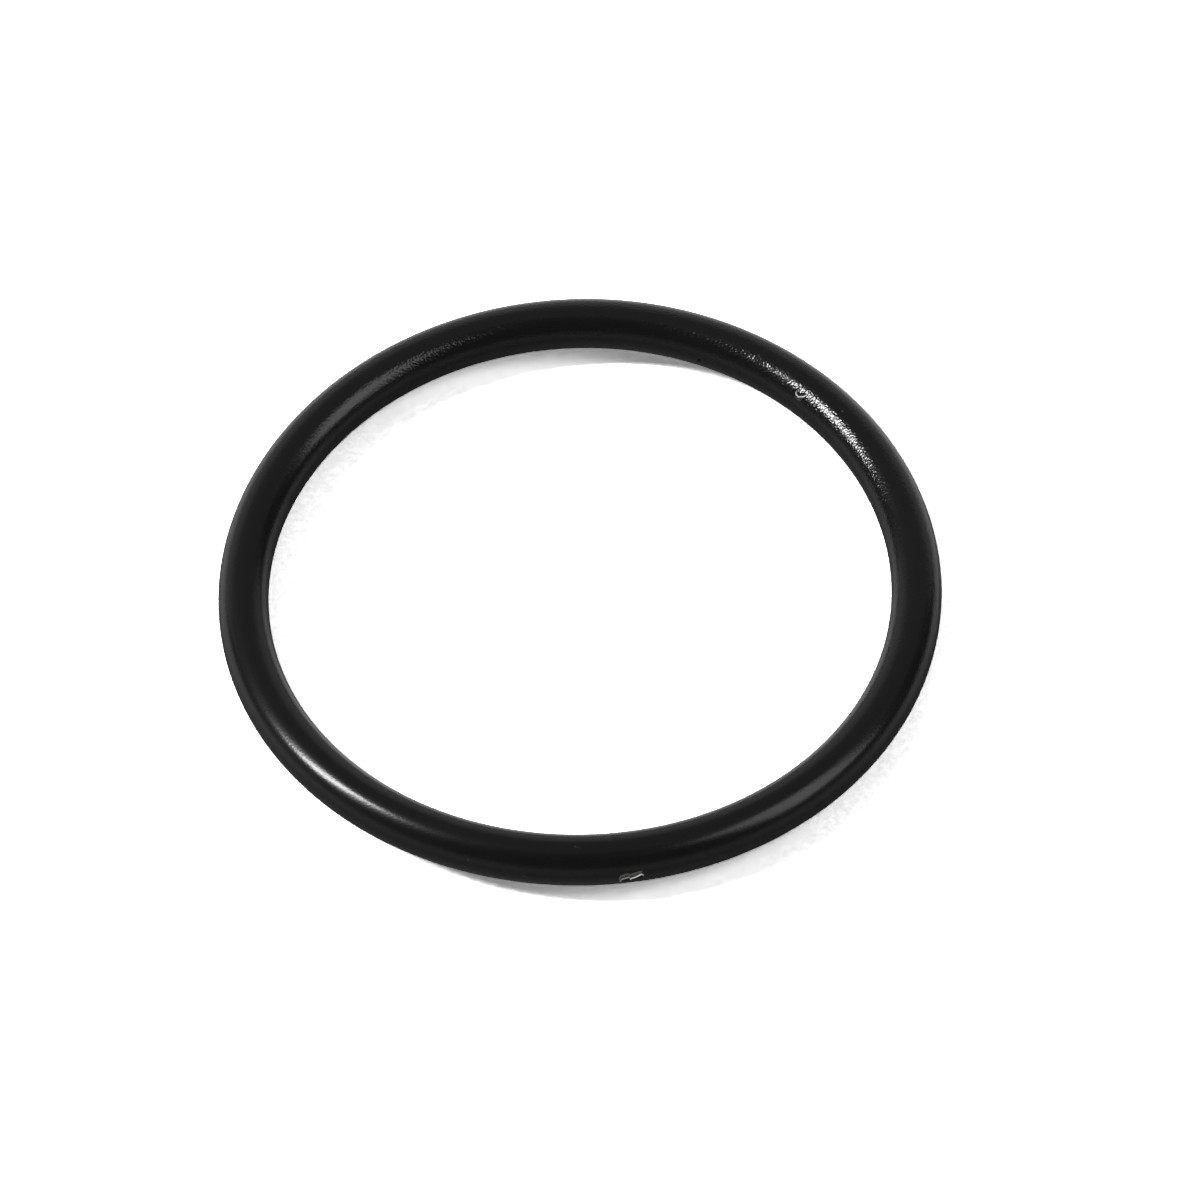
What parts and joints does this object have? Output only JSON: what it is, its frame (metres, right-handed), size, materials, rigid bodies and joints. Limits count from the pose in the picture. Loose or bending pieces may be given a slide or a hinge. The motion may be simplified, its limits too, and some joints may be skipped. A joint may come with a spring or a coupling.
{
  "type": "o-ring",
  "caption": "Moulded black rubber sealing ring with a round section, lying flat, for a groove in a shaft or a housing.",
  "frame": {"origin": "centre of the ring, in its parting plane", "axes": "+Z along the ring's axis, up when the ring lies flat; +X to the right in the picture and +Y away from it"},
  "size_m": [0.0508, 0.0508, 0.0036],
  "materials": {
    "nitrile": "satin, with a fine moulded grain"
  },
  "bodies": {
    "root": {"o_ring": "nitrile"}
  },
  "joints": []
}
